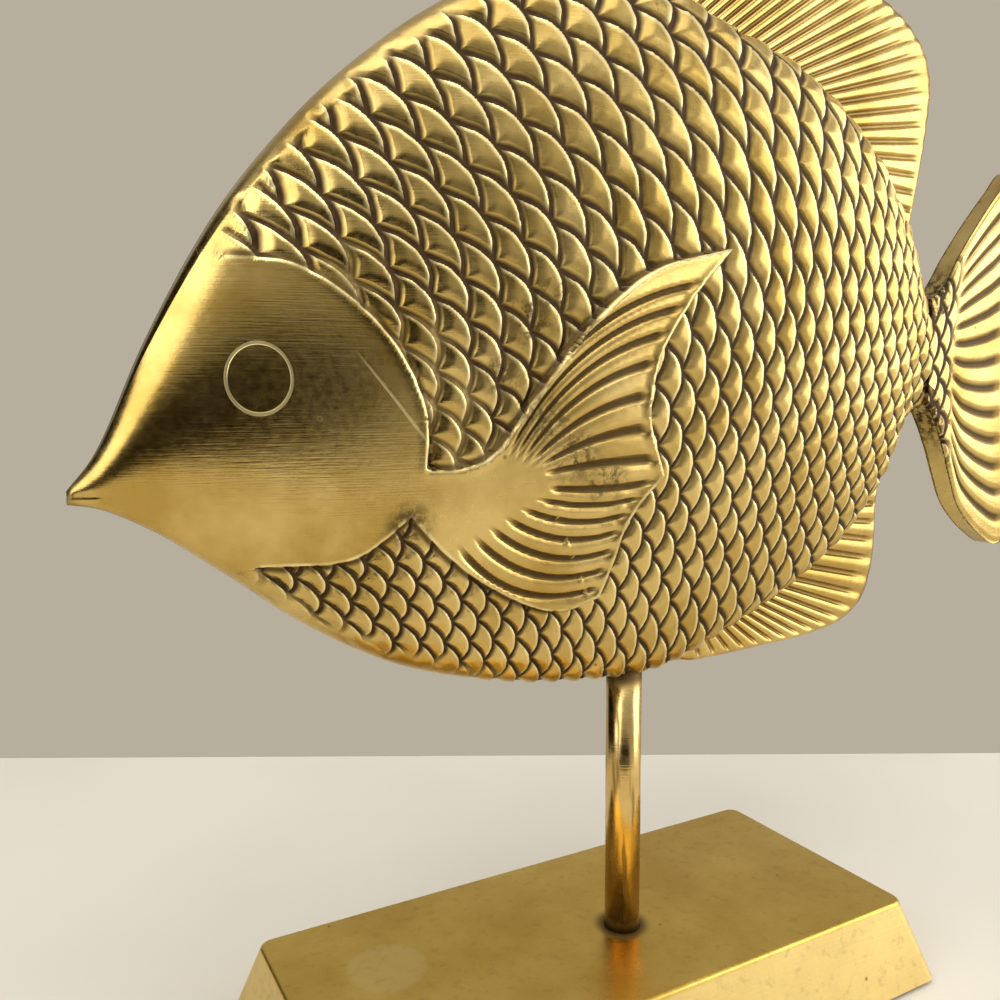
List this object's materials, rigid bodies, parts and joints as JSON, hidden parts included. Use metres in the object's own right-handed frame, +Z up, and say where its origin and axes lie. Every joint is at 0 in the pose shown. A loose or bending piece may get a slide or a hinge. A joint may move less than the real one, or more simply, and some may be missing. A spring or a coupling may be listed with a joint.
{
  "type": "fish figurine",
  "caption": "Polished cast brass figurine of a deep-bodied fish with chased scales, held up on a round stem over a bevelled brass base.",
  "frame": {"origin": "on the underside of the felt, midway along the base and right under the middle plane of the fish, on the surface that the figurine stands on", "axes": "+X from the nose to the tail along the base, +Y to the fish's right side, +Z up"},
  "size_m": [0.2952, 0.084, 0.2904],
  "materials": {
    "polished_brass": "polished cast brass with dark patina in the chased lines",
    "stand_brass": "satin cast brass with light wear and specks",
    "hardware_brass": "plain machined brass",
    "felt": "pressed wool felt"
  },
  "bodies": {
    "root": {"left_body_shell": "polished_brass", "right_body_shell": "polished_brass", "dorsal_fin": "polished_brass", "anal_fin": "polished_brass", "tail_fin": "polished_brass", "belly_boss": "hardware_brass", "stem": "stand_brass", "base": "stand_brass", "base_washer": "hardware_brass", "base_nut": "hardware_brass", "felt_pad": "felt"}
  },
  "joints": []
}
